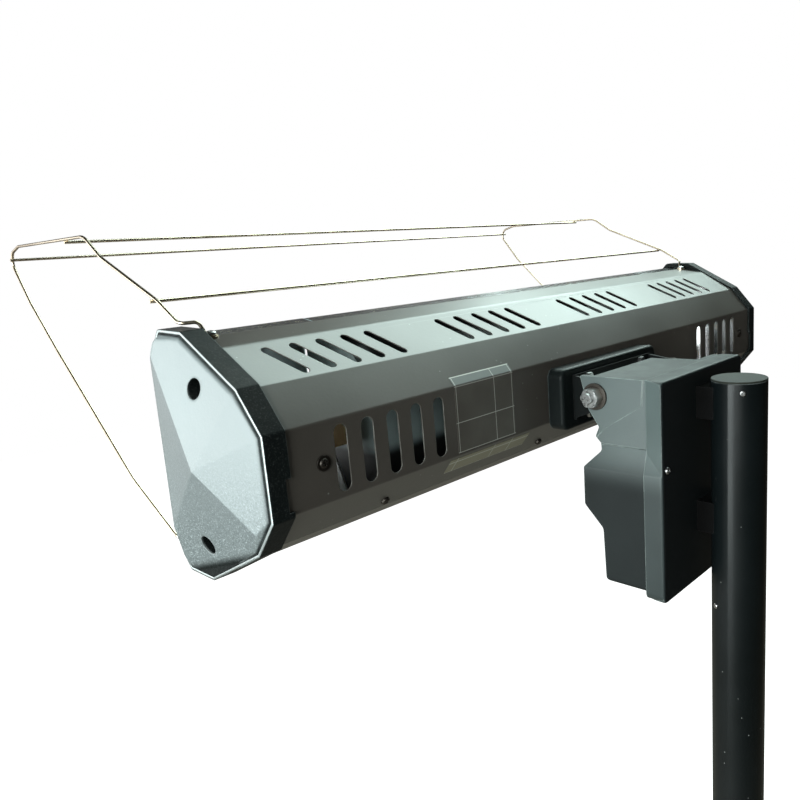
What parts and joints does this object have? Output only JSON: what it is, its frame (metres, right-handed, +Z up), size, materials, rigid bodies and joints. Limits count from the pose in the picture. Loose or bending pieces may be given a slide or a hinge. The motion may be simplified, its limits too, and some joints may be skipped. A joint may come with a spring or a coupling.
{
  "type": "infrared patio heater",
  "caption": "Free-standing infrared heater: a slotted faceted head with a wire guard tilts on a moulded control box at the top of a round pole on a weighted disc base.",
  "frame": {"origin": "centre of the base on the floor, on the pole axis", "axes": "+Z up the pole, X along the heater head, -Y the way the heater shines"},
  "size_m": [0.84, 0.8365, 1.9949],
  "materials": {
    "housing_paint": "satin powder coat",
    "cap_plastic": "fine textured",
    "polished_aluminium": "polished",
    "lamp_quartz": "gold-tinted clear",
    "tungsten": "dull",
    "ceramic": "unglazed",
    "zinc_steel": "zinc plated",
    "bright_steel": "bright",
    "guard_chrome": "polished",
    "black_rubber": "matt",
    "foil": "satin foil",
    "box_plastic": "satin",
    "cover_plastic": "satin",
    "black_nylon": "semi-matt",
    "fibre": "matt",
    "board_laminate": "solder resist",
    "relay_plastic": "gloss",
    "rocker_plastic": "semi-gloss",
    "pole_paint": "satin powder coat",
    "weight_steel": "raw"
  },
  "bodies": {
    "stand": {"box_body": "box_plastic", "box_cover": "cover_plastic", "cover_screws": "bright_steel", "pivot_bolt": "bright_steel", "pivot_nut": "bright_steel", "pivot_washers": "bright_steel", "friction_washers": "fibre", "mounting_plate": "zinc_steel", "board_standoffs": "zinc_steel", "control_board": "board_laminate", "power_relay": "relay_plastic", "box_terminal_block": "ceramic", "tip_over_switch": "black_nylon", "switch_housing": "black_nylon", "cable_gland": "black_nylon", "pole_upper": "pole_paint", "pole_lower": "pole_paint", "pole_sleeve": "zinc_steel", "pole_screws": "bright_steel", "pole_cap": "pole_paint", "pole_rivets": "bright_steel", "pole_saddles": "black_nylon", "pole_bolts": "bright_steel", "pole_inserts": "zinc_steel", "base_pad": "black_rubber", "base_plate": "weight_steel", "base_socket": "zinc_steel", "base_bolts": "bright_steel", "base_cover": "pole_paint", "pole_collar": "black_nylon"},
    "head": {"housing_shell": "housing_paint", "back_stiffener": "zinc_steel", "end_cap_left": "cap_plastic", "end_cap_right": "cap_plastic", "cap_screws": "bright_steel", "end_plates": "polished_aluminium", "reflector": "polished_aluminium", "reflector_ends": "polished_aluminium", "front_covers": "polished_aluminium", "lamp_tube": "lamp_quartz", "lamp_filament": "tungsten", "lamp_holders": "ceramic", "lamp_brackets": "zinc_steel", "overheat_cutout": "zinc_steel", "terminal_block": "ceramic", "lead_grommet": "black_rubber", "housing_screws": "bright_steel", "blank_labels": "foil", "mount_pad": "cover_plastic", "tilt_bracket": "pole_paint", "bracket_screws": "bright_steel", "pivot_tube": "zinc_steel", "guard_loop_left": "guard_chrome", "guard_loop_right": "guard_chrome", "guard_rod_rear": "guard_chrome", "guard_rod_middle": "guard_chrome", "guard_rod_front": "guard_chrome", "guard_screws": "bright_steel"},
    "rocker": {"switch_rocker": "rocker_plastic"}
  },
  "joints": [
    {"name": "head_tilt", "type": "hinge", "parent": "stand", "child": "head", "pos_m": [0, -0.106, 1.818], "axis": [1, 0, 0], "range_deg": [-20, 35]},
    {"name": "rocker_press", "type": "hinge", "parent": "stand", "child": "rocker", "pos_m": [0, -0.09526, 1.664], "axis": [1, 0, 0], "range_deg": [0, 16]}
  ]
}
